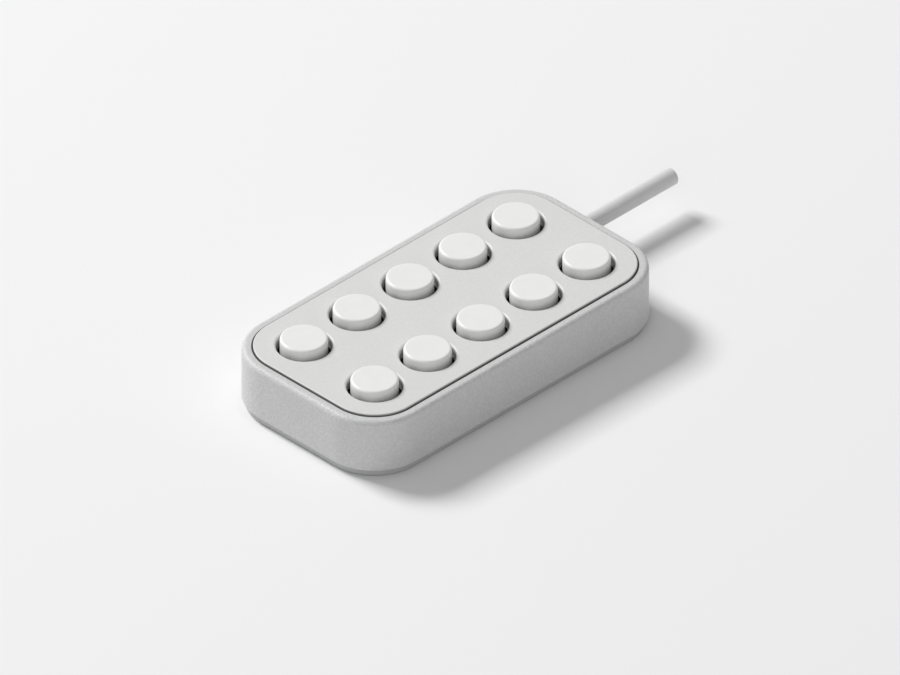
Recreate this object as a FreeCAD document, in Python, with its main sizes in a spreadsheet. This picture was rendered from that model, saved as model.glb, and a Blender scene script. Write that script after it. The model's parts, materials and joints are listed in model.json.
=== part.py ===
import FreeCAD, Part
import math
import os
from types import SimpleNamespace

import Sketcher

# Pushbutton operator panel: a flat closed pad with two rows of sprung round buttons and one cable.
# X runs across the pad, Y along it towards the cable and Z up. The origin is on the table under its middle.

# Driving dimensions in millimetres. A name that ends in _z or _y is a place, the others are sizes.
DIMENSIONS = {
    # Grid of the buttons, from the first to the last
    "button_span_x": 40,
    "button_span_y": 120,
    # Housing shell
    "housing_width": 89.2,
    "housing_length": 169.2,
    "corner_radius": 23.6,
    "edge_radius": 2,
    "lip_radius": 0.25,
    "lower_edge_radius": 0.4,
    "wall": 3,
    "rim_width": 4,
    "housing_bottom_z": 3.3,
    "cavity_top_z": 22.85,
    "rim_floor_z": 25.85,
    "rim_top_z": 27.05,
    # Front plate, its seal and adhesive film, and the button holes
    "plate_gap": 0.6,
    "plate_seal_slack": 0.02,
    "plate_seal_sink": 0.15,
    "plate_edge": 0.45,
    "plate_top_z": 27.85,
    "hole_radius": 11.3,
    "hole_edge": 1.2,
    "adhesive": 0.15,
    "adhesive_margin": 1,
    # Base plate, its seal, feet and mounting holes
    "base_inset": 1.3,
    "base_bottom_z": 0.3,
    "base_top_z": 2.7,
    "base_edge": 0.25,
    "seal_inset": 1.6,
    "seal_width": 0.7,
    "foot_span_x": 52,
    "foot_span_y": 124,
    "foot_radius": 7,
    "foot_edge": 0.2,
    "foot_top_z": 1.3,
    "foot_gap": 0.1,
    "mount_span_x": 60,
    "mount_span_y": 152,
    "mount_hole_radius": 1.65,
    # Base screws, their inserts and bosses
    "screw_span_x": 73,
    "screw_span_y": 141,
    "screw_shank_radius": 1.45,
    "screw_head_radius": 2.75,
    "screw_head_z": 0.4,
    "screw_neck_z": 1.7,
    "screw_tip_z": 9.2,
    "screw_clearance": 0.2,
    "boss_radius": 3,
    "boss_hole_z": 10.5,
    "insert_radius": 2.1,
    "insert_bore_radius": 1.5,
    "insert_groove": 0.25,
    "insert_bottom_z": 2.8,
    "insert_top_z": 8.8,
    "press_gap": 0.03,
    # Circuit board, its posts and screws
    "board_width": 65,
    "board_length": 138,
    "board_corner": 2,
    "board_bottom_z": 6.5,
    "board_top_z": 8.1,
    "post_span_x": 58,
    "post_span_y": 90,
    "post_radius": 3,
    "pilot_depth": 8,
    "small_shank_radius": 1.2,
    "small_head_radius": 2.25,
    "small_head_height": 1.6,
    "small_screw_grip": 6,
    "small_clearance": 0.1,
    "recess_width": 0.7,
    "recess_depth": 0.8,
    # Dust mat on top of the switches
    "mat_length": 134,
    "mat_thickness": 1,
    "mat_gap": 0.2,
    # Key switches
    "switch_side": 12,
    "switch_wall": 1,
    "switch_floor": 1.2,
    "switch_split_z": 13.1,
    "switch_top_z": 18.1,
    "terminal_width": 2,
    "terminal_reach": 1.5,
    "terminal_sheet": 0.4,
    "disc_radius": 3,
    "disc_flat": 1.5,
    "disc_rise": 0.5,
    "disc_sheet": 0.15,
    # Plunger
    "stem_side": 7,
    "stem_gap": 0.1,
    "stem_top_z": 25.5,
    "spigot_side": 5,
    "spigot_top_z": 28,
    "spigot_gap": 0.05,
    "collar_side": 9.6,
    "collar_bottom_z": 15.3,
    "collar_top_z": 16.8,
    "pin_radius": 1.8,
    "pin_bottom_z": 12.4,
    # Button cap
    "cap_radius": 9.75,
    "cap_edge": 1.15,
    "cap_wall": 1.6,
    "cap_roof": 2,
    "cap_bottom_z": 24,
    "cap_top_z": 31.2,
    "cap_socket_radius": 4.3,
    # Return spring
    "spring_radius": 3.7,
    "spring_wire_radius": 0.3,
    "spring_seat": 0.02,
    # Cable, its grommet and clamp; lengths along the cable are measured on Y
    "cable_x": -12,
    "cable_z": 14.26,
    "cable_radius": 3.7,
    "cable_inner_y": 74.5,
    "cable_joint_y": 89.6,
    "cable_end_y": 140.3,
    "grommet_gap": 0.05,
    "grommet_neck_radius": 5.15,
    "grommet_flange_radius": 6.5,
    "grommet_inner_flange": 1.5,
    "grommet_outer_flange": 1.8,
    "grommet_nose_radius": 4.7,
    "grommet_nose_root": 6,
    "grommet_flange_edge": 0.4,
    "grommet_nose_edge": 0.25,
    "clamp_near_y": 75.5,
    "clamp_far_y": 79.6,
    "clamp_half_width": 13,
    "clamp_bottom_z": 9.6,
    "clamp_split": 0.15,
    "clamp_groove_radius": 3.72,
    "clamp_screw_span": 18,
    # Header, pins, plug and cores
    "header_x": -2,
    "header_near_y": 28,
    "header_far_y": 38,
    "header_half_width": 9.5,
    "header_height": 8,
    "header_wall": 1.3,
    "plug_gap": 0.15,
    "plug_far_y": 42,
    "pin_pitch": 2.54,
    "pin_side": 0.64,
    "pin_hole_gap": 0.08,
    "pin_tip_y": 36,
    "pin_back_y": 25,
    "core_radius": 0.55,
    "core_inner_ring": 0.7,
    "core_outer_ring": 2.1,
    "core_bend": 5,
    "core_lead": 2.5,
}

BUTTON_COLUMNS = ("left", "right")
BUTTON_ROWS = 5
SCREW_COLUMNS = 2
SCREW_ROWS = 3
POST_COLUMNS = 2
POST_ROWS = 4
CORNERS_ACROSS = 2
CLAMP_SCREWS = 2
RECESS_SHARE = 0.62
SPRING_TURNS = 4.5
CORE_RINGS = (3, 9)
PINS_PER_ROW = 6
PIN_ROWS = 2
TOLERANCE = 1e-4

ALONG_Y = FreeCAD.Rotation(FreeCAD.Vector(1, 0, 0), -90)


class Length:
    """A length worked out from the sheet: its expression, for binding, and its present value."""

    def __init__(self, text, value):
        self.text = text
        self.value = value

    def __add__(self, other):
        other = length(other)
        return Length(f"({self.text} + {other.text})", self.value + other.value)

    def __sub__(self, other):
        other = length(other)
        return Length(f"({self.text} - {other.text})", self.value - other.value)

    def __mul__(self, factor):
        return Length(f"({self.text} * {factor})", self.value * factor)

    def __truediv__(self, divisor):
        return Length(f"({self.text} / {divisor})", self.value / divisor)

    def __neg__(self):
        return Length(f"(0 - {self.text})", -self.value)


def length(number):
    """A plain number as a Length; a Length stays as it is."""
    return number if isinstance(number, Length) else Length(str(number), number)


doc = FreeCAD.newDocument("operator_panel")
sheet = doc.addObject("Spreadsheet::Sheet", "dims")
for cell_row, (alias, number) in enumerate(DIMENSIONS.items(), 1):
    sheet.set(f"A{cell_row}", str(number))
    sheet.setAlias(f"A{cell_row}", alias)
doc.recompute()

d = SimpleNamespace(**{alias: Length(f"dims.{alias}", number) for alias, number in DIMENSIONS.items()})
parts = []


def bind(target, name, size):
    """Bind one property of an object to a length from the sheet."""
    target.setExpression(name, length(size).text)


def place(target, x, y, z):
    """Bind the place of an object to three lengths."""
    bind(target, "Placement.Base.x", x)
    bind(target, "Placement.Base.y", y)
    bind(target, "Placement.Base.z", z)


def new_body(name):
    """A body for one sub-part, whose label names its file."""
    body = doc.addObject("PartDesign::Body", name)
    body.Label = name
    parts.append(body)
    return body


def origin(body, role):
    """One of a body's own origin planes or axes."""
    return next(feature for feature in body.Origin.OriginFeatures if feature.Role == role)


def new_sketch(body, name, role, level=0):
    """A sketch on one of the body's planes, raised to a level."""
    sketch = body.newObject("Sketcher::SketchObject", name)
    sketch.AttachmentSupport = [(origin(body, role), "")]
    sketch.MapMode = "FlatFace"
    bind(sketch, "AttachmentOffset.Base.z", level)
    return sketch


def constrain(sketch, size, *what):
    """A driving constraint of a sketch, bound to the sheet."""
    size = length(size)
    index = sketch.addConstraint(Sketcher.Constraint(*what, size.value))
    sketch.setExpression(f"Constraints[{index}]", size.text)


def rounded_rectangle(sketch, width, height, radius):
    """A rectangle with round corners about the sketch's origin."""
    half_x = length(width).value / 2
    half_y = length(height).value / 2
    r = length(radius).value
    normal = FreeCAD.Vector(0, 0, 1)
    arcs = []
    for corner, (side_x, side_y) in enumerate(((1, 1), (-1, 1), (-1, -1), (1, -1))):
        centre = FreeCAD.Vector(side_x * (half_x - r), side_y * (half_y - r), 0)
        start = corner * math.pi / 2
        arcs.append(sketch.addGeometry(
            Part.ArcOfCircle(Part.Circle(centre, normal, r), start, start + math.pi / 2)))
    lines = []
    for corner in range(4):
        start = sketch.getPoint(arcs[corner], 2)
        end = sketch.getPoint(arcs[(corner + 1) % 4], 1)
        lines.append(sketch.addGeometry(Part.LineSegment(start, end)))
    for corner in range(4):
        sketch.addConstraint(Sketcher.Constraint("Tangent", arcs[corner], 2, lines[corner], 1))
        sketch.addConstraint(Sketcher.Constraint("Tangent", lines[corner], 2, arcs[(corner + 1) % 4], 1))
        if corner:
            sketch.addConstraint(Sketcher.Constraint("Equal", arcs[0], arcs[corner]))
    sketch.addConstraint(Sketcher.Constraint("Horizontal", lines[0]))
    sketch.addConstraint(Sketcher.Constraint("Vertical", lines[1]))
    sketch.addConstraint(Sketcher.Constraint("Symmetric", arcs[0], 3, arcs[2], 3, -1, 1))
    constrain(sketch, width, "DistanceX", lines[1], 1, lines[3], 1)
    constrain(sketch, height, "DistanceY", lines[2], 1, lines[0], 1)
    constrain(sketch, radius, "Radius", arcs[0])


def polygon(sketch, points):
    """A closed outline through points, each one bound to the sheet."""
    corners = [FreeCAD.Vector(length(u).value, length(v).value, 0) for u, v in points]
    lines = []
    for start, end in zip(corners, corners[1:] + corners[:1]):
        lines.append(sketch.addGeometry(Part.LineSegment(start, end)))
    for number, line in enumerate(lines):
        sketch.addConstraint(Sketcher.Constraint("Coincident", line, 2, lines[(number + 1) % len(lines)], 1))
    for line, (u, v) in zip(lines, points):
        constrain(sketch, u, "DistanceX", -1, 1, line, 1)
        constrain(sketch, v, "DistanceY", -1, 1, line, 1)


def solve(body, volume_before=None):
    """Work the body out, and stop if a cut took nothing away."""
    doc.recompute()
    if volume_before is not None and body.Shape.Volume > volume_before - TOLERANCE:
        raise RuntimeError(f"{body.Label}: {body.Tip.Label} cuts nothing")


def slab(body, name, outline, low_z, high_z):
    """A pad between two heights of one or more rounded rectangles, the inner ones being open."""
    sketch = new_sketch(body, f"{name}_outline", "XY_Plane", low_z)
    for loop in outline:
        rounded_rectangle(sketch, *loop)
    pad = body.newObject("PartDesign::Pad", name)
    pad.Profile = sketch
    bind(pad, "Length", length(high_z) - low_z)
    solve(body)


def hollow(body, name, outline, low_z, high_z):
    """A pocket between two heights, cut upwards from its lower outline."""
    before = body.Shape.Volume
    sketch = new_sketch(body, f"{name}_outline", "XY_Plane", low_z)
    rounded_rectangle(sketch, *outline)
    pocket = body.newObject("PartDesign::Pocket", name)
    pocket.Profile = sketch
    pocket.Reversed = True
    bind(pocket, "Length", length(high_z) - low_z)
    solve(body, before)


def turned(body, name, profile):
    """A solid of revolution about Z of a closed outline of (radius, height) points."""
    sketch = new_sketch(body, f"{name}_profile", "XZ_Plane")
    polygon(sketch, profile)
    revolution = body.newObject("PartDesign::Revolution", name)
    revolution.Profile = sketch
    revolution.ReferenceAxis = (sketch, ["V_Axis"])
    revolution.Angle = 360
    solve(body)


def box(body, name, low, high, cut=False):
    """A box between two corners, added to the body or cut out of it."""
    before = body.Shape.Volume if cut else None
    feature = body.newObject(f"PartDesign::{'Subtractive' if cut else 'Additive'}Box", name)
    for side, start, end in zip(("Length", "Width", "Height"), low, high):
        bind(feature, side, length(end) - start)
    place(feature, *low)
    solve(body, before)
    return feature


def cylinder(body, name, centre, radius, low_z, high_z, cut=False):
    """An upright cylinder, added to the body or cut out of it."""
    before = body.Shape.Volume if cut else None
    feature = body.newObject(f"PartDesign::{'Subtractive' if cut else 'Additive'}Cylinder", name)
    bind(feature, "Radius", radius)
    bind(feature, "Height", length(high_z) - low_z)
    place(feature, *centre, low_z)
    solve(body, before)
    return feature


def bar_along_y(body, name, centre, radius, near_y, far_y, cut=False):
    """A cylinder that lies along Y about a centre (x, z), added to the body or cut out of it."""
    before = body.Shape.Volume if cut else None
    feature = body.newObject(f"PartDesign::{'Subtractive' if cut else 'Additive'}Cylinder", name)
    feature.Placement = FreeCAD.Placement(FreeCAD.Vector(), ALONG_Y)
    bind(feature, "Radius", radius)
    bind(feature, "Height", length(far_y) - near_y)
    place(feature, centre[0], near_y, centre[1])
    solve(body, before)
    return feature


def grid(body, features, span_x, count_x, span_other=1, count_other=1, other="Y_Axis"):
    """Repeat features, or the whole body if none are given, from their first place over a grid."""
    pattern = body.newObject("PartDesign::LinearPattern", "grid")
    pattern.TransformMode = "Features" if features else "Whole shape"
    pattern.Originals = features
    pattern.Direction = (origin(body, "X_Axis"), [""])
    pattern.Mode = "Extent"
    bind(pattern, "Length", span_x)
    pattern.Occurrences = count_x
    pattern.Direction2 = (origin(body, other), [""])
    pattern.Mode2 = "Extent"
    bind(pattern, "Length2", span_other)
    pattern.Occurrences2 = count_other
    body.Tip = pattern
    doc.recompute()


def button_grid(body, features=()):
    """Repeat features, or the whole body, at every button."""
    grid(body, list(features), d.button_span_x, len(BUTTON_COLUMNS), d.button_span_y, BUTTON_ROWS)


def soften(body, name, radius, chosen):
    """Round the edges that a test chooses."""
    base = body.Tip
    names = [f"Edge{number}" for number, edge in enumerate(base.Shape.Edges, 1) if chosen(edge)]
    fillet = body.newObject("PartDesign::Fillet", name)
    fillet.Base = (base, names)
    bind(fillet, "Radius", radius)
    solve(body)


def lies_at(level):
    """A test for edges that lie flat at a height."""
    z = length(level).value
    return lambda edge: abs(edge.BoundBox.ZMin - z) < TOLERANCE and abs(edge.BoundBox.ZMax - z) < TOLERANCE


def rim_at(level, radius):
    """A test for round edges of one radius that lie flat at a height."""
    flat = lies_at(level)
    r = length(radius).value

    def chosen(edge):
        return flat(edge) and hasattr(edge.Curve, "Radius") and abs(edge.Curve.Radius - r) < TOLERANCE

    return chosen


def inset_outline(inset):
    """The housing's outline moved inwards."""
    inset = length(inset)
    return d.housing_width - inset * 2, d.housing_length - inset * 2, d.corner_radius - inset


def outline_at(level, inset):
    """A test for the edges of the housing's outline, moved inwards, at a height."""
    flat = lies_at(level)
    width, height, radius = inset_outline(inset)
    corner = rim_at(level, radius)

    def chosen(edge):
        middle = edge.CenterOfMass
        at_side = abs(abs(middle.x) - width.value / 2) < TOLERANCE
        at_end = abs(abs(middle.y) - height.value / 2) < TOLERANCE
        return corner(edge) or flat(edge) and (at_side or at_end)

    return chosen


# Places where the patterns start, at their corner with the lowest X and Y
first_button = (-d.button_span_x / 2, -d.button_span_y / 2)
first_screw = (-d.screw_span_x / 2, -d.screw_span_y / 2)
first_post = (-d.post_span_x / 2, -d.post_span_y / 2)
first_foot = (-d.foot_span_x / 2, -d.foot_span_y / 2)
first_mount = (-d.mount_span_x / 2, -d.mount_span_y / 2)
first_clamp_screw = (d.cable_x - d.clamp_screw_span / 2, (d.clamp_near_y + d.clamp_far_y) / 2)
screw_grid = (d.screw_span_x, SCREW_COLUMNS, d.screw_span_y, SCREW_ROWS)
post_grid = (d.post_span_x, POST_COLUMNS, d.post_span_y, POST_ROWS)
foot_grid = (d.foot_span_x, CORNERS_ACROSS, d.foot_span_y, CORNERS_ACROSS)
mount_grid = (d.mount_span_x, CORNERS_ACROSS, d.mount_span_y, CORNERS_ACROSS)
clamp_screw_grid = (d.clamp_screw_span, CLAMP_SCREWS)

# Heights and places that follow from the driving dimensions
plate_bottom_z = d.rim_floor_z + d.adhesive
mat_top_z = d.switch_top_z + d.mat_thickness
switch_inside_z = d.board_top_z + d.switch_floor
rear_wall_y = d.housing_length / 2
pin_row_gap = d.pin_pitch * (PIN_ROWS - 1)
pin_row_span = d.pin_pitch * (PINS_PER_ROW - 1)
header_top_z = d.board_top_z + d.header_height
first_pin_x = d.header_x - pin_row_span / 2
first_pin_z = d.board_top_z + d.header_height / 2 - pin_row_gap / 2


def make_housing():
    """Moulded shell: side walls, top wall with a sunk field, screw bosses, board posts and cable saddle."""
    body = new_body("housing")
    slab(body, "shell", [inset_outline(0)], d.housing_bottom_z, d.rim_top_z)
    soften(body, "top_edge", d.edge_radius, lies_at(d.rim_top_z))
    soften(body, "lower_edge", d.lower_edge_radius, lies_at(d.housing_bottom_z))
    hollow(body, "cavity", inset_outline(d.wall), d.housing_bottom_z, d.cavity_top_z)
    hollow(body, "field", inset_outline(d.rim_width), d.rim_floor_z, d.rim_top_z)
    soften(body, "rim_lip", d.lip_radius, outline_at(d.rim_top_z, d.rim_width))
    hole = cylinder(body, "button_hole", first_button, d.hole_radius, d.cavity_top_z, d.rim_floor_z, cut=True)
    button_grid(body, [hole])
    boss = cylinder(body, "screw_boss", first_screw, d.boss_radius, d.base_top_z, d.cavity_top_z)
    bore = cylinder(body, "insert_hole", first_screw, d.insert_radius + d.press_gap,
                    d.base_top_z, d.boss_hole_z, cut=True)
    grid(body, [boss, bore], *screw_grid)
    post = cylinder(body, "board_post", first_post, d.post_radius, d.board_top_z, d.cavity_top_z)
    pilot = cylinder(body, "board_pilot", first_post, d.small_shank_radius + d.press_gap,
                     d.board_top_z, d.board_top_z + d.pilot_depth, cut=True)
    grid(body, [post, pilot], *post_grid)
    bar_along_y(body, "cable_hole", (d.cable_x, d.cable_z), d.grommet_neck_radius + d.grommet_gap,
                rear_wall_y - d.wall, rear_wall_y, cut=True)
    box(body, "saddle",
        (d.cable_x - d.clamp_half_width, d.clamp_near_y, d.cable_z + d.clamp_split),
        (d.cable_x + d.clamp_half_width, d.clamp_far_y, d.cavity_top_z))
    bar_along_y(body, "saddle_groove", (d.cable_x, d.cable_z), d.clamp_groove_radius,
                d.clamp_near_y, d.clamp_far_y, cut=True)
    saddle_pilot = cylinder(body, "saddle_pilot", first_clamp_screw, d.small_shank_radius + d.press_gap,
                            d.cable_z, d.cable_z + d.pilot_depth, cut=True)
    grid(body, [saddle_pilot], *clamp_screw_grid)


def make_front():
    """Front plate that stands a little proud of the rim, the film that holds it and the seal around it."""
    plate = new_body("front_plate")
    slab(plate, "sheet", [inset_outline(d.rim_width + d.plate_gap)], plate_bottom_z, d.plate_top_z)
    soften(plate, "outer_edge", d.plate_edge, lies_at(d.plate_top_z))
    hole = cylinder(plate, "button_hole", first_button, d.hole_radius,
                    plate_bottom_z, d.plate_top_z, cut=True)
    button_grid(plate, [hole])
    soften(plate, "hole_edges", d.hole_edge, rim_at(d.plate_top_z, d.hole_radius))

    film = new_body("plate_adhesive")
    film_inset = d.rim_width + d.plate_gap + d.adhesive_margin
    slab(film, "film", [inset_outline(film_inset)], d.rim_floor_z, plate_bottom_z)
    opening = cylinder(film, "button_hole", first_button, d.hole_radius + d.adhesive_margin,
                       d.rim_floor_z, plate_bottom_z, cut=True)
    button_grid(film, [opening])

    seal = new_body("plate_seal")
    slab(seal, "cord",
         [inset_outline(d.rim_width + d.plate_seal_slack),
          inset_outline(d.rim_width + d.plate_gap - d.plate_seal_slack)],
         d.rim_floor_z, d.rim_top_z - d.plate_seal_sink)


def make_dust_mat():
    """Rubber mat on the switches, with an opening for each stem and each board post."""
    mat = new_body("dust_mat")
    slab(mat, "sheet", [(d.board_width, d.mat_length, d.board_corner)], d.switch_top_z, mat_top_z)
    half = d.stem_side / 2 + d.mat_gap
    x, y = first_button
    stem = box(mat, "stem_opening",
               (x - half, y - half, d.switch_top_z), (x + half, y + half, mat_top_z), cut=True)
    button_grid(mat, [stem])
    post = cylinder(mat, "post_opening", first_post, d.post_radius + d.mat_gap,
                    d.switch_top_z, mat_top_z, cut=True)
    grid(mat, [post], *post_grid)


def make_board():
    """Circuit board with a clearance hole for each screw."""
    board = new_body("circuit_board")
    slab(board, "laminate", [(d.board_width, d.board_length, d.board_corner)],
         d.board_bottom_z, d.board_top_z)
    hole = cylinder(board, "screw_hole", first_post, d.small_shank_radius + d.small_clearance,
                    d.board_bottom_z, d.board_top_z, cut=True)
    grid(board, [hole], *post_grid)


def cut_cross(body, centre, head_radius, low_z):
    """A cross recess in the underside of a screw's head."""
    x, y = centre
    reach = length(head_radius) * RECESS_SHARE
    half = d.recess_width / 2
    top = length(low_z) + d.recess_depth
    box(body, "recess_x", (x - reach, y - half, low_z), (x + reach, y + half, top), cut=True)
    box(body, "recess_y", (x - half, y - reach, low_z), (x + half, y + reach, top), cut=True)


def make_small_screws(name, centre, seat_z, spacing):
    """Pan head screws driven upwards against a seat."""
    body = new_body(name)
    head_z = length(seat_z) - d.small_head_height
    cylinder(body, "head", centre, d.small_head_radius, head_z, seat_z)
    soften(body, "head_edge", d.small_head_height / 2, lies_at(head_z))
    cylinder(body, "shank", centre, d.small_shank_radius, seat_z, length(seat_z) + d.small_screw_grip)
    cut_cross(body, centre, d.small_head_radius, head_z)
    grid(body, [], *spacing)


def make_switches():
    """Key switches: an open base and a cover with a square guide, a snap disc and two terminals each."""
    x, y = first_button
    half = d.switch_side / 2
    inner = half - d.switch_wall
    guide = d.stem_side / 2 + d.stem_gap
    lid_z = d.switch_top_z - d.switch_floor

    base = new_body("switch_bases")
    box(base, "tub", (x - half, y - half, d.board_top_z), (x + half, y + half, d.switch_split_z))
    box(base, "well",
        (x - inner, y - inner, switch_inside_z), (x + inner, y + inner, d.switch_split_z), cut=True)
    button_grid(base)

    cover = new_body("switch_covers")
    box(cover, "lid", (x - half, y - half, d.switch_split_z), (x + half, y + half, d.switch_top_z))
    box(cover, "well", (x - inner, y - inner, d.switch_split_z), (x + inner, y + inner, lid_z), cut=True)
    box(cover, "guide", (x - guide, y - guide, lid_z), (x + guide, y + guide, d.switch_top_z), cut=True)
    button_grid(cover)

    disc = new_body("contact_discs")
    turned(disc, "snap_disc", [
        (0, d.disc_rise),
        (d.disc_flat, d.disc_rise),
        (d.disc_radius, d.disc_sheet),
        (d.disc_radius, 0),
        (d.disc_radius - d.disc_sheet, 0),
        (d.disc_flat - d.disc_sheet, d.disc_rise - d.disc_sheet),
        (0, d.disc_rise - d.disc_sheet),
    ])
    button_grid(disc)
    place(disc, x, y, switch_inside_z)

    tabs = new_body("switch_terminals")
    wide = d.terminal_width / 2
    top_z = d.board_top_z + d.terminal_sheet
    reach = half + d.terminal_reach
    box(tabs, "near_tab", (x - wide, y - reach, d.board_top_z), (x + wide, y - half, top_z))
    box(tabs, "far_tab", (x - wide, y + half, d.board_top_z), (x + wide, y + reach, top_z))
    button_grid(tabs)


def make_header():
    """Right-angle pin header on the board, its bent pins and the plug that the cores end in."""
    x = d.header_x
    half = d.header_half_width
    wall = d.header_wall
    slack = d.pin_side / 2 + d.pin_hole_gap
    pin = d.pin_side / 2
    pins = (pin_row_span, PINS_PER_ROW, pin_row_gap, PIN_ROWS, "Z_Axis")

    header = new_body("board_header")
    box(header, "shroud",
        (x - half, d.header_near_y, d.board_top_z), (x + half, d.header_far_y, header_top_z))
    box(header, "socket",
        (x - half + wall, d.header_near_y + wall, d.board_top_z + wall),
        (x + half - wall, d.header_far_y, header_top_z - wall), cut=True)
    hole = box(header, "pin_hole",
               (first_pin_x - slack, d.header_near_y, first_pin_z - slack),
               (first_pin_x + slack, d.header_near_y + wall, first_pin_z + slack), cut=True)
    grid(header, [hole], *pins)

    metal = new_body("header_pins")
    for row in range(PIN_ROWS):
        z = first_pin_z + d.pin_pitch * row
        back = d.pin_back_y - d.pin_pitch * row
        box(metal, f"run_{row}",
            (first_pin_x - pin, back, z - pin), (first_pin_x + pin, d.pin_tip_y, z + pin))
        box(metal, f"leg_{row}",
            (first_pin_x - pin, back, d.board_top_z), (first_pin_x + pin, back + d.pin_side, z + pin))
    grid(metal, [], pin_row_span, PINS_PER_ROW)

    plug = new_body("wire_plug")
    gap = d.header_wall + d.plug_gap
    box(plug, "block",
        (x - half + gap, d.header_near_y + gap, d.board_top_z + gap),
        (x + half - gap, d.plug_far_y, header_top_z - gap))
    socket = box(plug, "pin_socket",
                 (first_pin_x - slack, d.header_near_y + gap, first_pin_z - slack),
                 (first_pin_x + slack, d.pin_tip_y + d.pin_side, first_pin_z + slack), cut=True)
    grid(plug, [socket], *pins)


def core_path(start, end):
    """A planar path between two points that leaves and arrives along Y, with two equal bends."""
    bend = d.core_bend.value
    along = FreeCAD.Vector(0, -1, 0)
    first = start + along * d.core_lead.value
    second = end - along * d.core_lead.value
    slope = (second - first).normalize()
    lean = slope.getAngle(along)
    trim = bend * math.tan(lean / 2)
    edges = []
    here = start
    for corner, before, after in ((first, along, slope), (second, slope, along)):
        enter = corner - before * trim
        leave = corner + after * trim
        inward = (after - before).normalize()
        middle = corner + inward * (bend / math.cos(lean / 2) - bend)
        edges.append(Part.LineSegment(here, enter).toShape())
        edges.append(Part.Arc(enter, middle, leave).toShape())
        here = leave
    edges.append(Part.LineSegment(here, end).toShape())
    return Part.Wire(edges)


def make_cores():
    """Cores that fan out from the cable's two rings to the two rows of the plug."""
    starts = []
    for ring_radius, count in zip((d.core_inner_ring, d.core_outer_ring), CORE_RINGS):
        for number in range(count):
            angle = 2 * math.pi * number / count + math.pi / 2
            starts.append(FreeCAD.Vector(
                d.cable_x.value + ring_radius.value * math.cos(angle),
                d.cable_inner_y.value,
                d.cable_z.value + ring_radius.value * math.sin(angle)))
    starts.sort(key=lambda point: point.z)
    solids = []
    for row in range(PIN_ROWS):
        line = sorted(starts[row * PINS_PER_ROW:(row + 1) * PINS_PER_ROW], key=lambda point: point.x)
        for number, start in enumerate(line):
            end = FreeCAD.Vector(
                (first_pin_x + d.pin_pitch * number).value,
                d.plug_far_y.value,
                (first_pin_z + d.pin_pitch * row).value)
            path = core_path(start, end)
            section = Part.Wire(Part.Circle(start, FreeCAD.Vector(0, 1, 0), d.core_radius.value).toShape())
            solids.append(path.makePipeShell([section], True, False))
    cores = doc.addObject("Part::Feature", "core_wires")
    cores.Label = "core_wires"
    cores.Shape = Part.Compound(solids)
    cores.Placement = FreeCAD.Placement()
    parts.append(cores)


def make_cable():
    """Cable, held by a clamp inside and a rubber grommet in the rear wall."""
    axis = (d.cable_x, d.cable_z)
    for name, near_y, far_y in (
        ("cable_tail", d.cable_inner_y, d.cable_joint_y),
        ("cable", d.cable_joint_y, d.cable_end_y),
    ):
        bar_along_y(new_body(name), "jacket", axis, d.cable_radius, near_y, far_y)

    grommet = new_body("cable_grommet")
    bore = d.cable_radius + d.grommet_gap
    nose = d.cable_joint_y - rear_wall_y
    turned(grommet, "rubber", [
        (bore, -d.wall - d.grommet_inner_flange),
        (d.grommet_flange_radius, -d.wall - d.grommet_inner_flange),
        (d.grommet_flange_radius, -d.wall),
        (d.grommet_neck_radius, -d.wall),
        (d.grommet_neck_radius, 0),
        (d.grommet_flange_radius, 0),
        (d.grommet_flange_radius, d.grommet_outer_flange),
        (d.grommet_nose_root, d.grommet_outer_flange),
        (d.grommet_nose_radius, nose),
        (bore, nose),
    ])
    soften(grommet, "flange_edge", d.grommet_flange_edge,
           rim_at(d.grommet_outer_flange, d.grommet_flange_radius))
    soften(grommet, "nose_edge", d.grommet_nose_edge, rim_at(nose, d.grommet_nose_radius))
    grommet.Placement = FreeCAD.Placement(FreeCAD.Vector(), ALONG_Y)
    place(grommet, d.cable_x, rear_wall_y, d.cable_z)

    clamp = new_body("cable_clamp")
    top_z = d.cable_z - d.clamp_split
    box(clamp, "bar",
        (d.cable_x - d.clamp_half_width, d.clamp_near_y, d.clamp_bottom_z),
        (d.cable_x + d.clamp_half_width, d.clamp_far_y, top_z))
    bar_along_y(clamp, "groove", axis, d.clamp_groove_radius, d.clamp_near_y, d.clamp_far_y, cut=True)
    hole = cylinder(clamp, "screw_hole", first_clamp_screw, d.small_shank_radius + d.small_clearance,
                    d.clamp_bottom_z, top_z, cut=True)
    grid(clamp, [hole], *clamp_screw_grid)


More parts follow.
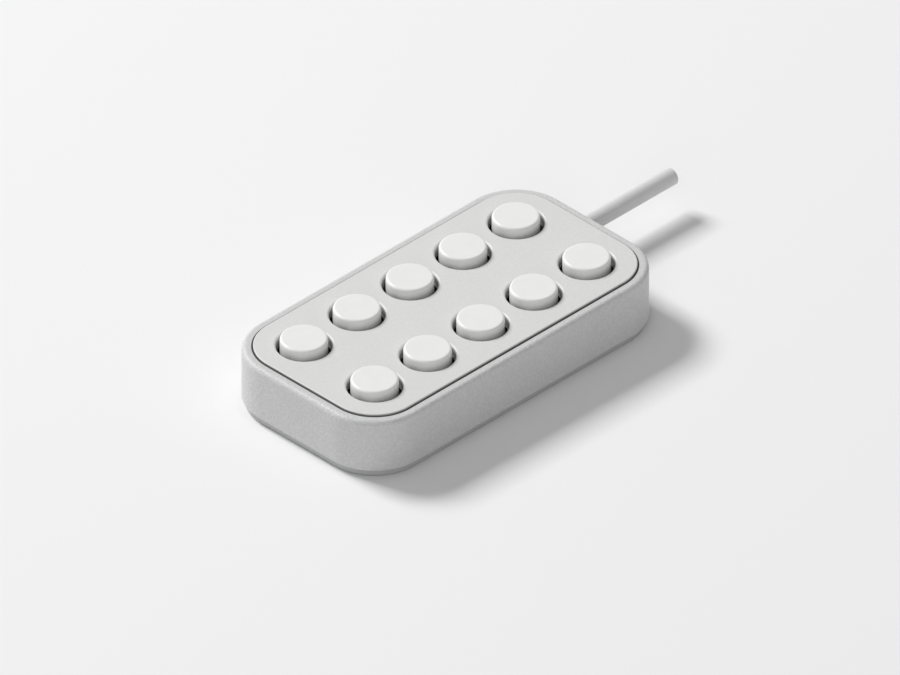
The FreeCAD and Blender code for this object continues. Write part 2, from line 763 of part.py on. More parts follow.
def make_base():
    """Base plate with countersunk screws, brass inserts, a seal and four stuck-on feet."""
    plate = new_body("base_plate")
    slab(plate, "sheet", [inset_outline(d.base_inset)], d.base_bottom_z, d.base_top_z)
    soften(plate, "lower_edge", d.base_edge, lies_at(d.base_bottom_z))
    soften(plate, "upper_edge", d.base_edge, lies_at(d.base_top_z))
    clear = cylinder(plate, "screw_hole", first_screw, d.screw_shank_radius + d.screw_clearance,
                     d.base_bottom_z, d.base_top_z, cut=True)
    before = plate.Shape.Volume
    sink = plate.newObject("PartDesign::SubtractiveCone", "countersink")
    bind(sink, "Radius1", d.screw_head_radius + d.screw_clearance)
    bind(sink, "Radius2", d.screw_shank_radius + d.screw_clearance)
    bind(sink, "Height", d.screw_neck_z - d.base_bottom_z)
    place(sink, *first_screw, d.base_bottom_z)
    solve(plate, before)
    grid(plate, [clear, sink], *screw_grid)
    recess = cylinder(plate, "foot_recess", first_foot, d.foot_radius + d.foot_gap,
                      d.base_bottom_z, d.foot_top_z, cut=True)
    grid(plate, [recess], *foot_grid)
    tapped = cylinder(plate, "mount_hole", first_mount, d.mount_hole_radius,
                      d.base_bottom_z, d.base_top_z, cut=True)
    grid(plate, [tapped], *mount_grid)

    seal = new_body("base_seal")
    slab(seal, "cord", [inset_outline(d.seal_inset), inset_outline(d.seal_inset + d.seal_width)],
         d.base_top_z, d.housing_bottom_z)

    screws = new_body("base_screws")
    turned(screws, "screw", [
        (0, d.screw_head_z),
        (d.screw_head_radius, d.screw_head_z),
        (d.screw_shank_radius, d.screw_neck_z),
        (d.screw_shank_radius, d.screw_tip_z),
        (0, d.screw_tip_z),
    ])
    cut_cross(screws, (length(0), length(0)), d.screw_head_radius, d.screw_head_z)
    grid(screws, [], *screw_grid)
    place(screws, *first_screw, 0)

    inserts = new_body("threaded_inserts")
    third = (d.insert_top_z - d.insert_bottom_z) / 3
    waist = d.insert_radius - d.insert_groove
    turned(inserts, "insert", [
        (d.insert_bore_radius, d.insert_bottom_z),
        (d.insert_radius, d.insert_bottom_z),
        (d.insert_radius, d.insert_bottom_z + third),
        (waist, d.insert_bottom_z + third),
        (waist, d.insert_top_z - third),
        (d.insert_radius, d.insert_top_z - third),
        (d.insert_radius, d.insert_top_z),
        (d.insert_bore_radius, d.insert_top_z),
    ])
    grid(inserts, [], *screw_grid)
    place(inserts, *first_screw, 0)

    feet = new_body("rubber_feet")
    cylinder(feet, "foot", first_foot, d.foot_radius, 0, d.foot_top_z)
    soften(feet, "foot_edge", d.foot_edge, lies_at(0))
    grid(feet, [], *foot_grid)


def make_cap(name, x, y):
    """Hollow round button cap with a soft upper edge and a square socket."""
    cap = new_body(name)
    inner = d.cap_radius - d.cap_wall
    roof_z = d.cap_top_z - d.cap_roof
    turned(cap, "shell", [
        (0, d.cap_top_z),
        (d.cap_radius, d.cap_top_z),
        (d.cap_radius, d.cap_bottom_z),
        (inner, d.cap_bottom_z),
        (inner, roof_z),
        (d.cap_socket_radius, roof_z),
        (d.cap_socket_radius, d.stem_top_z),
        (0, d.stem_top_z),
    ])
    soften(cap, "upper_edge", d.cap_edge, rim_at(d.cap_top_z, d.cap_radius))
    half = d.spigot_side / 2 + d.spigot_gap
    box(cap, "socket", (-half, -half, d.stem_top_z), (half, half, d.spigot_top_z + d.spigot_gap), cut=True)
    place(cap, x, y, 0)


def make_plunger(name, x, y):
    """Plunger: a pin over the snap disc, a collar under the switch cover, a square stem and a spigot."""
    plunger = new_body(name)
    for piece, side, low_z, high_z in (
        ("collar", d.collar_side, d.collar_bottom_z, d.collar_top_z),
        ("stem", d.stem_side, d.collar_top_z, d.stem_top_z),
        ("spigot", d.spigot_side, d.stem_top_z, d.spigot_top_z),
    ):
        half = side / 2
        box(plunger, piece, (-half, -half, low_z), (half, half, high_z))
    cylinder(plunger, "pin", (0, 0), d.pin_radius, d.pin_bottom_z, d.collar_bottom_z)
    place(plunger, x, y, 0)


def make_spring(name, x, y):
    """Coil spring between the floor of the switch and the plunger's collar."""
    spring = new_body(name)
    low_z = switch_inside_z + d.spring_wire_radius + d.spring_seat
    high_z = d.collar_bottom_z - d.spring_wire_radius - d.spring_seat
    sketch = new_sketch(spring, "wire_section", "XZ_Plane")
    centre = FreeCAD.Vector(d.spring_radius.value, low_z.value, 0)
    section = sketch.addGeometry(Part.Circle(centre, FreeCAD.Vector(0, 0, 1), d.spring_wire_radius.value))
    constrain(sketch, d.spring_wire_radius, "Radius", section)
    constrain(sketch, d.spring_radius, "DistanceX", -1, 1, section, 3)
    constrain(sketch, low_z, "DistanceY", -1, 1, section, 3)
    coil = spring.newObject("PartDesign::AdditiveHelix", "coil")
    coil.Profile = sketch
    coil.ReferenceAxis = (sketch, ["V_Axis"])
    coil.Mode = "height-turns-angle"
    bind(coil, "Height", high_z - low_z)
    coil.Turns = SPRING_TURNS
    solve(spring)
    place(spring, x, y, 0)


def make_buttons():
    """One cap, plunger and spring at each place of the grid, numbered from the end away from the cable."""
    for column, side in enumerate(BUTTON_COLUMNS):
        for row in range(BUTTON_ROWS):
            x = first_button[0] + d.button_span_x * column / (len(BUTTON_COLUMNS) - 1)
            y = first_button[1] + d.button_span_y * row / (BUTTON_ROWS - 1)
            place_name = f"{side}_{row + 1}"
            make_cap(f"button_cap_{place_name}", x, y)
            make_plunger(f"plunger_{place_name}", x, y)
            make_spring(f"return_spring_{place_name}", x, y)


make_housing()
make_front()
make_dust_mat()
make_board()
make_small_screws("board_screws", first_post, d.board_bottom_z, post_grid)
make_switches()
make_header()
make_cores()
make_cable()
make_small_screws("clamp_screws", first_clamp_screw, d.clamp_bottom_z, clamp_screw_grid)
make_base()
make_buttons()
doc.recompute()

failed = [item.Label for item in doc.Objects if {"Invalid", "Error"} & set(item.State)]
broken = [part.Label for part in parts if part.Shape.isNull() or not part.Shape.isValid()]
if failed or broken:
    raise RuntimeError(f"failed: {failed}, broken shapes: {broken}")

os.makedirs("parts", exist_ok=True)
for part in parts:
    part.Shape.exportStep(f"parts/{part.Label}.step")
    print(f"{part.Label}: {len(part.Shape.Solids)} solids, {part.Shape.Volume:.1f} cubic mm")
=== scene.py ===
import json
import math

import bmesh
import bpy
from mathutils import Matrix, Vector

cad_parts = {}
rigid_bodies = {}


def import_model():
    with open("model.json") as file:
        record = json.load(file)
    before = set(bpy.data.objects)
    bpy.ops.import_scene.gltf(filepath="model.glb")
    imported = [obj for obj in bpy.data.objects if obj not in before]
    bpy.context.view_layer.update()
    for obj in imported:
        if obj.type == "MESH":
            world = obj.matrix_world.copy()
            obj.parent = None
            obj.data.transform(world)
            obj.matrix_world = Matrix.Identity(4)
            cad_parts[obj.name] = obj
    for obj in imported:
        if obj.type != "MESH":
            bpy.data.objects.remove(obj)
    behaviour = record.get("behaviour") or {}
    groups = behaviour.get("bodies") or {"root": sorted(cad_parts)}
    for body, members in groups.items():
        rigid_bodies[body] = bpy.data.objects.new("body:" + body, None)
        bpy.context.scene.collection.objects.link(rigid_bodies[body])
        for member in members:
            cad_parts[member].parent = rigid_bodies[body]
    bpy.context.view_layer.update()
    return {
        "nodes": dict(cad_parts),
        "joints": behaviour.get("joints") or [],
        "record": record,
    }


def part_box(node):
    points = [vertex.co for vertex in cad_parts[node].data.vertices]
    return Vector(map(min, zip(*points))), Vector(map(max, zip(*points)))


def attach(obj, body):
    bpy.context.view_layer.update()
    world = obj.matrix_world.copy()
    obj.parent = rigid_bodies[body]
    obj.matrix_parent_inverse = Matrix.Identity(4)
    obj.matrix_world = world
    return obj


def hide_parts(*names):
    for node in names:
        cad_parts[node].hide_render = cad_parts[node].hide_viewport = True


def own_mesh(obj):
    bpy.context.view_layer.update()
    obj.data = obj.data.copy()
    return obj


# Looks of the operator panel: camera, finishes, cable, front plate, springs, feet, floor and light.
# Lengths are metres in the part's own frame: X across the panel, Y along it towards the cable, Z up.

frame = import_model()
nodes = frame["nodes"]

MM = 0.001
X_AXIS = Vector((1, 0, 0))
Y_AXIS = Vector((0, 1, 0))
Z_AXIS = Vector((0, 0, 1))
FULL_TURN = 2 * math.pi
QUARTER_TURN = FULL_TURN / 4

# Camera: a true isometric view, with the part's origin at its pixel of the picture
IMAGE_WIDTH = 900
IMAGE_HEIGHT = 675
PIXELS_PER_METRE_OF_AXIS = 2040
ORIGIN_PIXEL = (445.29, 360.35)
ISOMETRIC_SHORTENING = math.sqrt(2 / 3)
TOWARDS_CAMERA = Vector((1, -1, 1)).normalized()
CAMERA_DISTANCE = 1.5

# Finishes: the values between which each kind of pattern goes from its start to its end
NOISE_LIMITS = (0.3, 0.7)
PEBBLE_LIMITS = (0.1, 0.75)
EDGE_LIMITS = (1.0, 0.8)
# Ambient occlusion for the painted shade in gaps: its limits and its samples
GAP_LIMITS = (0.95, 0.55)
GAP_SAMPLES = 12
MIDDLE_OF_TOP = (0.5, 0.5, 1.0)
WEAVE_SCALE = 500
CORE_COLOURS = (
    (0.75, 0.75, 0.72),
    (0.26, 0.12, 0.05),
    (0.05, 0.25, 0.09),
    (0.75, 0.52, 0.05),
    (0.2, 0.2, 0.2),
    (0.7, 0.25, 0.3),
    (0.04, 0.09, 0.35),
    (0.5, 0.04, 0.03),
)

# Cable: sheath, filler, cores and their strands at the cut end
CABLE_ORDER = 3
CABLE_RESOLUTION = 20
SHEATH = 0.8 * MM
CUT_EDGE = 0.12 * MM
FILLER_DEPTH = 0.5 * MM
CORE_RINGS = ((3, 0.7 * MM), (9, 2.1 * MM))
CORE_RADIUS = 0.55 * MM
CONDUCTOR_RADIUS = 0.33 * MM
CORE_REACH = 0.3 * MM
CORE_SIDES = 20
STRANDS = 6
STRAND_RADIUS = 0.105 * MM
STRAND_REACH = 0.38 * MM
STRAND_SIDES = 10

# Front plate: round edges on its outline and on its button holes
PLATE_CORNER = 19 * MM
PLATE_EDGE = 0.45 * MM
HOLE_RADIUS = 11.3 * MM
HOLE_EDGE = 1.2 * MM
EDGE_STEPS = 8
CORNER_STEPS = 24
HOLE_SIDES = 96

# Return springs: closed end turns, open turns between them
SPRING_WIRE_RADIUS = 0.3 * MM
SPRING_TURNS = 5.0
SPRING_CLOSED_TURNS = 0.9
SPRING_STEPS_PER_TURN = 24
SPRING_SIDES = 8

# Feet: concentric grooves in the sole
FOOT_RADIUS = 7 * MM
FOOT_EDGE = 0.25 * MM
FOOT_GROOVES = (2.2 * MM, 3.9 * MM, 5.6 * MM)
FOOT_GROOVE_WIDTH = 0.5 * MM
FOOT_GROOVE_DEPTH = 0.35 * MM

# Floor and light
FLOOR_REACH = 4.0
FLOOR_COLOUR = (0.91, 0.91, 0.91)
FLOOR_ROUGHNESS = 0.9
LAMP_DISTANCE = 6.0
SURROUND_LEVEL = 0.33
BACKGROUND_LEVEL = 0.9
WHITE = (1, 1, 1, 1)

# Meshes: sides of the larger circles, and the angle from which an edge stays sharp
CIRCLE_SIDES = 72
SHARP_ANGLE = math.radians(32)


class Finish:
    """A procedural material: nodes around one shader, mapped in metres of the part's own frame."""

    def __init__(self, name, colour, roughness, **constants):
        self.material = bpy.data.materials.new(name)
        self.material.use_nodes = True
        self.tree = self.material.node_tree
        self.shader = self.tree.nodes["Principled BSDF"]
        self.coordinates = self.add("ShaderNodeTexCoord")
        self.normal = None
        self.show("Base Color", (*colour, 1))
        self.show("Roughness", roughness)
        for socket, value in constants.items():
            self.show(socket.replace("_", " "), value)

    def add(self, kind, inputs=None, **settings):
        """A node with its settings, and its inputs set to constants or linked."""
        node = self.tree.nodes.new(kind)
        for name, value in settings.items():
            setattr(node, name, value)
        for name, value in (inputs or {}).items():
            self.feed(node.inputs[name], value)
        return node

    def feed(self, socket, value):
        """Set a socket to a constant, or link it to the output of another node."""
        if isinstance(value, bpy.types.NodeSocket):
            self.tree.links.new(value, socket)
        else:
            socket.default_value = value

    def show(self, socket, value):
        """Feed one of the shader's own sockets."""
        self.feed(self.shader.inputs[socket], value)

    def noise(self, grain, detail=2.0, stretch=(1, 1, 1)):
        """Soft random values around 0.5 whose features are about one grain across."""
        mapping = self.add("ShaderNodeMapping", {
            "Vector": self.coordinates.outputs["Object"],
            "Scale": stretch,
        })
        texture = self.add("ShaderNodeTexNoise", {
            "Vector": mapping.outputs["Vector"],
            "Scale": 1 / grain,
            "Detail": detail,
        })
        return texture.outputs["Fac"]

    def pebbles(self, grain):
        """Rounded cells about one grain across: 1 in their middles, falling to 0 where they meet."""
        texture = self.add("ShaderNodeTexVoronoi", {
            "Vector": self.coordinates.outputs["Object"],
            "Scale": 1 / grain,
        })
        return self.spread(texture.outputs["Distance"], PEBBLE_LIMITS, start=1, end=0)

    def edges(self, radius):
        """Values of 1 along edges, falling to 0 within a radius of them."""
        bevel = self.add("ShaderNodeBevel", {"Radius": radius})
        geometry = self.add("ShaderNodeNewGeometry")
        match = self.add("ShaderNodeVectorMath", operation="DOT_PRODUCT")
        self.feed(match.inputs[0], bevel.outputs["Normal"])
        self.feed(match.inputs[1], geometry.outputs["Normal"])
        return self.spread(match.outputs["Value"], EDGE_LIMITS)

    def gaps(self, reach):
        """Values of 1 in narrow gaps and inner corners, falling to 0 on open surfaces, from ambient
        occlusion: a mask for painted shade.
        """
        node = self.add("ShaderNodeAmbientOcclusion", {"Distance": reach}, samples=GAP_SAMPLES)
        return self.spread(node.outputs["AO"], GAP_LIMITS)

    def distance(self, point):
        """How far a place is from a point of the piece's own box, whose sides are 1 long."""
        node = self.add("ShaderNodeVectorMath", operation="DISTANCE")
        self.feed(node.inputs[0], self.coordinates.outputs["Generated"])
        self.feed(node.inputs[1], point)
        return node.outputs["Value"]

    def spread(self, value, limits=NOISE_LIMITS, start=0, end=1):
        """A value's stretch between two limits as the stretch from start to end, held at both."""
        low, high = limits
        node = self.add("ShaderNodeMapRange", {
            "Value": value,
            "From Min": low,
            "From Max": high,
            "To Min": start,
            "To Max": end,
        })
        return node.outputs["Result"]

    def join(self, first, second, operation="ADD"):
        """Two values added, or joined by another operation."""
        node = self.add("ShaderNodeMath", operation=operation)
        self.feed(node.inputs[0], first)
        self.feed(node.inputs[1], second)
        return node.outputs["Value"]

    def part_of(self, value, share):
        """A share of a value."""
        return self.join(value, share, "MULTIPLY")

    def between(self, share, first, second):
        """A colour between two colours, each a constant or another node's colour."""
        node = self.add("ShaderNodeMix", data_type="RGBA")
        self.feed(node.inputs["Factor"], share)
        self.feed(node.inputs["A"], (*first, 1) if isinstance(first, tuple) else first)
        self.feed(node.inputs["B"], (*second, 1) if isinstance(second, tuple) else second)
        return node.outputs["Result"]

    def shades(self, share, colour, first, second):
        """A colour between two shades of one colour."""
        return self.between(share, shade(colour, first), shade(colour, second))

    def bump(self, height, depth):
        """Raise the surface by up to a depth where height is 1."""
        node = self.add("ShaderNodeBump", {"Height": height, "Distance": depth})
        if self.normal:
            self.feed(node.inputs["Normal"], self.normal)
        self.normal = node.outputs["Normal"]
        self.show("Normal", self.normal)


def shade(colour, factor):
    """A colour made lighter or darker."""
    return tuple(channel * factor for channel in colour)


def moulded_plastic(name, colour, roughness, grain, relief, painted_hollow_shade=0.03, painted_gap_shade=0):
    """Moulded plastic: the tool's texture, faint mottling, smoother and lighter edges, painted shade in the
    hollows of the texture, and painted shade in gaps and inner corners.
    """
    finish = Finish(name, colour, roughness)
    mottle = finish.noise(grain=16 * MM, detail=4)
    texture = finish.join(finish.pebbles(grain), finish.noise(grain / 2, detail=3))
    worn = finish.edges(radius=0.6 * MM)
    cloudy = finish.shades(finish.spread(mottle), colour, first=0.97, second=1.02)
    # Painted shade: the colour darkens in the low places of the texture's relief, by up to twice the given
    # share
    hollows = finish.spread(texture, limits=(0.6, 1.4), start=1, end=0)
    hollow_shaded_colour = finish.between(hollows, cloudy, shade(colour, factor=1 - 2 * painted_hollow_shade))
    surface = finish.between(finish.part_of(worn, share=0.5), hollow_shaded_colour, shade(colour, factor=1.05))
    # Painted shade: the colour goes far darker in narrow gaps and inner corners, as far as ambient occlusion
    # finds them shut in
    if painted_gap_shade:
        gap_shade = finish.part_of(finish.gaps(reach=2 * MM), share=painted_gap_shade)
        surface = finish.between(gap_shade, surface, shade(colour, factor=0.3))
    finish.show("Base Color", surface)
    satin = finish.spread(mottle, start=roughness + 0.04, end=roughness - 0.04)
    finish.show("Roughness", finish.join(satin, finish.part_of(worn, share=0.08), "SUBTRACT"))
    finish.bump(texture, depth=relief)
    return finish


def cap_plastic():
    """Button caps: smooth semi-gloss plastic, polished in the middle where fingers press."""
    colour = (0.86, 0.86, 0.85)
    finish = Finish("cap_plastic", colour, roughness=0.3,
                    Coat_Weight=0.1, Coat_Roughness=0.12, Specular_IOR_Level=0.35)
    cloud = finish.noise(grain=6 * MM, detail=3)
    finish.show("Base Color", finish.shades(finish.spread(cloud), colour, first=0.985, second=1.01))
    polish = finish.spread(finish.distance(MIDDLE_OF_TOP), limits=(0.1, 0.5), start=0.32, end=0.37)
    haze = finish.spread(cloud, start=-0.015, end=0.015)
    finish.show("Roughness", finish.join(polish, haze))
    finish.bump(finish.noise(grain=1.5 * MM), depth=0.003 * MM)
    return finish


def rubber(name, colour, roughness):
    """Rubber: matt, finely pitted, with a little bloom."""
    finish = Finish(name, colour, roughness)
    bloom = finish.noise(grain=5 * MM, detail=5)
    patches = finish.spread(bloom, limits=(0.35, 0.75))
    finish.show("Base Color", finish.shades(patches, colour, first=1, second=1.6))
    finish.show("Roughness", finish.spread(bloom, start=roughness - 0.08, end=roughness + 0.08))
    finish.bump(finish.noise(grain=0.5 * MM, detail=3), depth=0.09 * MM)
    return finish


def metal(name, colour, roughness, stretch):
    """Metal with fine drawn or rolled marks along one direction."""
    finish = Finish(name, colour, roughness, Metallic=1.0)
    marks = finish.noise(grain=0.5 * MM, detail=4, stretch=stretch)
    stain = finish.noise(grain=4 * MM, detail=3)
    finish.show("Base Color", finish.shades(finish.spread(stain), colour, first=0.9, second=1))
    finish.show("Roughness", finish.spread(marks, start=roughness - 0.08, end=roughness + 0.12))
    finish.bump(marks, depth=0.004 * MM)
    return finish


def cable_jacket():
    """Extruded sheath with faint lines along it and a few scuffs."""
    colour = (0.67, 0.675, 0.67)
    finish = Finish("cable_jacket", colour, roughness=0.42)
    lines = finish.noise(grain=0.7 * MM, detail=3, stretch=(1, 0.03, 1))
    scuffs = finish.noise(grain=5 * MM, detail=5)
    finish.show("Base Color", finish.shades(scuffs, colour, first=0.95, second=1.05))
    finish.show("Roughness", finish.spread(scuffs, start=0.4, end=0.5))
    finish.bump(lines, depth=0.12 * MM)
    return finish


def base_paint():
    """Powder coat on sheet steel: orange peel, and edges rubbed lighter."""
    colour = (0.50, 0.505, 0.505)
    finish = Finish("base_paint", colour, roughness=0.45)
    peel = finish.noise(grain=1.1 * MM)
    mottle = finish.noise(grain=20 * MM, detail=3)
    worn = finish.edges(radius=0.4 * MM)
    cloudy = finish.shades(mottle, colour, first=0.92, second=1.06)
    rubbed = finish.part_of(worn, share=0.4)
    finish.show("Base Color", finish.between(rubbed, cloudy, shade(colour, factor=1.2)))
    finish.show("Roughness", finish.spread(mottle, start=0.4, end=0.5))
    finish.bump(peel, depth=0.16 * MM)
    return finish


def core_insulation():
    """Insulation in a different colour on each core."""
    finish = Finish("core_insulation", colour=(0.5, 0.5, 0.5), roughness=0.4)
    island = finish.add("ShaderNodeNewGeometry")
    ramp = finish.add("ShaderNodeValToRGB", {"Fac": island.outputs["Random Per Island"]})
    ramp.color_ramp.interpolation = "CONSTANT"
    stops = ramp.color_ramp.elements
    stops.remove(stops[-1])
    for number, colour in enumerate(CORE_COLOURS):
        stop = stops.new(number / len(CORE_COLOURS)) if number else stops[0]
        stop.color = (*colour, 1)
    finish.show("Base Color", ramp.outputs["Color"])
    finish.bump(finish.noise(grain=0.3 * MM), depth=0.01 * MM)
    return finish


def board_laminate():
    """Green solder mask over woven glass cloth."""
    colour = (0.03, 0.16, 0.08)
    finish = Finish("board_laminate", colour, roughness=0.32)
    threads = []
    for direction in ("X", "Y"):
        wave = finish.add("ShaderNodeTexWave", {
            "Vector": finish.coordinates.outputs["Object"],
            "Scale": WEAVE_SCALE,
        }, bands_direction=direction)
        threads.append(wave.outputs["Fac"])
    weave = finish.join(*threads, "MULTIPLY")
    finish.show("Base Color", finish.shades(weave, colour, first=0.8, second=1.2))
    finish.bump(weave, depth=0.01 * MM)
    return finish


def make_finishes():
    """Every material slot of the record with its finish, in place of the frame's plain materials."""
    bpy.data.batch_remove(bpy.data.materials)
    finishes = [
        # The housing and the plate get painted shade in their gaps and in the hollows of their texture
        moulded_plastic("housing_plastic", (0.66, 0.665, 0.66), roughness=0.5,
                        grain=1.2 * MM, relief=0.085 * MM, painted_hollow_shade=0.05, painted_gap_shade=0.85),
        moulded_plastic("plate_plastic", (0.735, 0.74, 0.73), roughness=0.42,
                        grain=0.8 * MM, relief=0.024 * MM, painted_hollow_shade=0.03, painted_gap_shade=0.85),
        cap_plastic(),
        moulded_plastic("adhesive_film", (0.55, 0.55, 0.52), roughness=0.5,
                        grain=0.5 * MM, relief=0.01 * MM),
        rubber("black_rubber", (0.018, 0.018, 0.019), roughness=0.7),
        rubber("grey_rubber", (0.07, 0.07, 0.072), roughness=0.65),
        board_laminate(),
        moulded_plastic("switch_plastic", (0.03, 0.03, 0.033), roughness=0.45,
                        grain=0.4 * MM, relief=0.01 * MM),
        moulded_plastic("plunger_plastic", (0.76, 0.75, 0.70), roughness=0.35,
                        grain=0.4 * MM, relief=0.006 * MM),
        metal("spring_steel", (0.55, 0.55, 0.55), roughness=0.3, stretch=(1, 1, 1)),
        metal("screw_steel", (0.62, 0.62, 0.60), roughness=0.35, stretch=(1, 1, 0.2)),
        metal("contact_steel", (0.66, 0.65, 0.62), roughness=0.3, stretch=(1, 0.1, 1)),
        metal("brass", (0.70, 0.52, 0.26), roughness=0.3, stretch=(1, 1, 0.2)),
        moulded_plastic("plug_plastic", (0.80, 0.78, 0.72), roughness=0.4,
                        grain=0.4 * MM, relief=0.006 * MM),
        core_insulation(),
        cable_jacket(),
        base_paint(),
    ]
    return {finish.material.name: finish.material for finish in finishes}


def make_camera():
    """The camera looks down one corner of the panel, with the origin at its place in the picture."""
    rotation = (-TOWARDS_CAMERA).to_track_quat("-Z", "Y")
    pixels_per_metre = PIXELS_PER_METRE_OF_AXIS / ISOMETRIC_SHORTENING
    right = (IMAGE_WIDTH / 2 - ORIGIN_PIXEL[0]) / pixels_per_metre
    up = (ORIGIN_PIXEL[1] - IMAGE_HEIGHT / 2) / pixels_per_metre
    camera = bpy.data.objects.new("camera", bpy.data.cameras.new("camera"))
    camera.data.type = "ORTHO"
    camera.data.ortho_scale = IMAGE_WIDTH / pixels_per_metre
    camera.rotation_mode = "QUATERNION"
    camera.rotation_quaternion = rotation
    camera.location = rotation @ Vector((right, up, CAMERA_DISTANCE))
    bpy.context.scene.collection.objects.link(camera)
    bpy.context.scene.camera = camera


def around(across, up, turn):
    """The direction at an angle in the plane of two unit vectors."""
    return across * math.cos(turn) + up * math.sin(turn)


def circle(builder, centre, across, up, radius, sides):
    """New vertices on a circle in the plane of two unit vectors."""
    turns = [FULL_TURN * step / sides for step in range(sides)]
    return [builder.verts.new(centre + radius * around(across, up, turn)) for turn in turns]


def bridge(builder, first, second):
    """A band of faces between two rings of vertices."""
    for step in range(len(first)):
        builder.faces.new((first[step - 1], first[step], second[step], second[step - 1]))


def bridge_all(builder, rings):
    """Bands of faces from each ring of vertices to the next."""
    for first, second in zip(rings, rings[1:]):
        bridge(builder, first, second)


def close_ends(builder, rings):
    """Flat faces over the first and the last ring of vertices."""
    builder.faces.new(rings[0])
    builder.faces.new(rings[-1])


def turned(builder, profile, foot, axis, sides, ring=False):
    """Turn points (radius, distance along the axis) about an axis: a solid with flat ends, or a ring."""
    across = axis.orthogonal().normalized()
    up = axis.cross(across)
    rings = [circle(builder, foot + axis * reach, across, up, radius, sides) for radius, reach in profile]
    bridge_all(builder, rings)
    if ring:
        bridge(builder, rings[-1], rings[0])
    else:
        close_ends(builder, rings)


def add_piece(name, data, material):
    """A new piece on the panel's own body, with the finish of one material slot."""
    piece = bpy.data.objects.new(name, data)
    bpy.context.scene.collection.objects.link(piece)
    data.materials.append(material)
    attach(piece, "panel")
    return piece


def add_mesh(name, builder, material):
    """A new piece of the built faces, smooth except at its sharp edges."""
    bmesh.ops.recalc_face_normals(builder, faces=builder.faces)
    mesh = bpy.data.meshes.new(name)
    builder.to_mesh(mesh)
    builder.free()
    mesh.shade_smooth()
    mesh.set_sharp_from_angle(angle=SHARP_ANGLE)
    return add_piece(name, mesh, material)


def button_place(joint):
    """The place of a joint's button in the grid, such as left_1."""
    return joint["child"].removeprefix("button_")


def make_strands(builder, foot):
    """One conductor: a strand with others round it."""
    turns = [FULL_TURN * number / STRANDS for number in range(STRANDS)]
    outer = [2 * STRAND_RADIUS * around(X_AXIS, Z_AXIS, turn) for turn in turns]
    for offset in [Vector(), *outer]:
        turned(builder, [(STRAND_RADIUS, 0), (STRAND_RADIUS, STRAND_REACH)],
               foot + offset, Y_AXIS, STRAND_SIDES)


def make_cut_end(finishes, axis, radius, end_y):
    """The cable's cut end: the sheath's rim, and cores with bare strands standing in it."""
    filler = Vector((axis.x, end_y - FILLER_DEPTH, axis.z))
    rim_profile = [
        (radius, 0),
        (radius, FILLER_DEPTH - CUT_EDGE),
        (radius - CUT_EDGE, FILLER_DEPTH),
        (radius - SHEATH, FILLER_DEPTH),
        (radius - SHEATH, 0),
    ]
    core_profile = [
        (CORE_RADIUS, 0),
        (CORE_RADIUS, CORE_REACH),
        (CONDUCTOR_RADIUS, CORE_REACH),
        (CONDUCTOR_RADIUS, 0),
    ]
    rim = bmesh.new()
    turned(rim, rim_profile, filler, Y_AXIS, CIRCLE_SIDES, ring=True)
    cores = bmesh.new()
    strands = bmesh.new()
    for count, ring_radius in CORE_RINGS:
        for number in range(count):
            foot = filler + ring_radius * around(X_AXIS, Z_AXIS, FULL_TURN * number / count)
            turned(cores, core_profile, foot, Y_AXIS, CORE_SIDES, ring=True)
            make_strands(strands, foot)
    return [
        add_mesh("cable_rim", rim, finishes["cable_jacket"]),
        add_mesh("cable_cores", cores, finishes["core_insulation"]),
        add_mesh("cable_strands", strands, finishes["contact_steel"]),
    ]


def make_cable(finishes):
    """The cable: a straight lead from the grommet to its cut end."""
    low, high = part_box("cable")
    axis = (low + high) / 2
    radius = (high.z - low.z) / 2
    curve = bpy.data.curves.new("cable_lead", "CURVE")
    curve.dimensions = "3D"
    curve.bevel_depth = radius
    curve.bevel_resolution = CABLE_RESOLUTION
    curve.use_fill_caps = True
    spline = curve.splines.new("NURBS")
    route = [Vector((axis.x, y, axis.z)) for y in (low.y, axis.y, high.y - FILLER_DEPTH)]
    spline.points.add(len(route) - 1)
    for point, place in zip(spline.points, route):
        point.co = (*place, 1)
    spline.order_u = CABLE_ORDER
    spline.use_endpoint_u = True
    lead = add_piece("cable_lead", curve, finishes["cable_jacket"])
    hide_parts("cable")
    cut_end = make_cut_end(finishes, axis, radius, high.y)


def rounded_wall(low_z, high_z, edge):
    """Points (distance from the wall, height) up a wall and round its upper edge."""
    turns = [QUARTER_TURN * step / EDGE_STEPS for step in range(EDGE_STEPS + 1)]
    rounding = [(edge * (1 - math.cos(turn)), high_z - edge + edge * math.sin(turn)) for turn in turns]
    return [(0, low_z), *rounding]


def plate_outline(builder, corner, inset, z):
    """New vertices around the plate at a height, moved inwards from its outline."""
    radius = PLATE_CORNER - inset
    vertices = []
    for quarter, (side_x, side_y) in enumerate(((1, 1), (-1, 1), (-1, -1), (1, -1))):
        centre = Vector((side_x * (corner.x - PLATE_CORNER), side_y * (corner.y - PLATE_CORNER), z))
        for step in range(CORNER_STEPS + 1):
            turn = QUARTER_TURN * (quarter + step / CORNER_STEPS)
            vertices.append(builder.verts.new(centre + radius * around(X_AXIS, Y_AXIS, turn)))
    return vertices


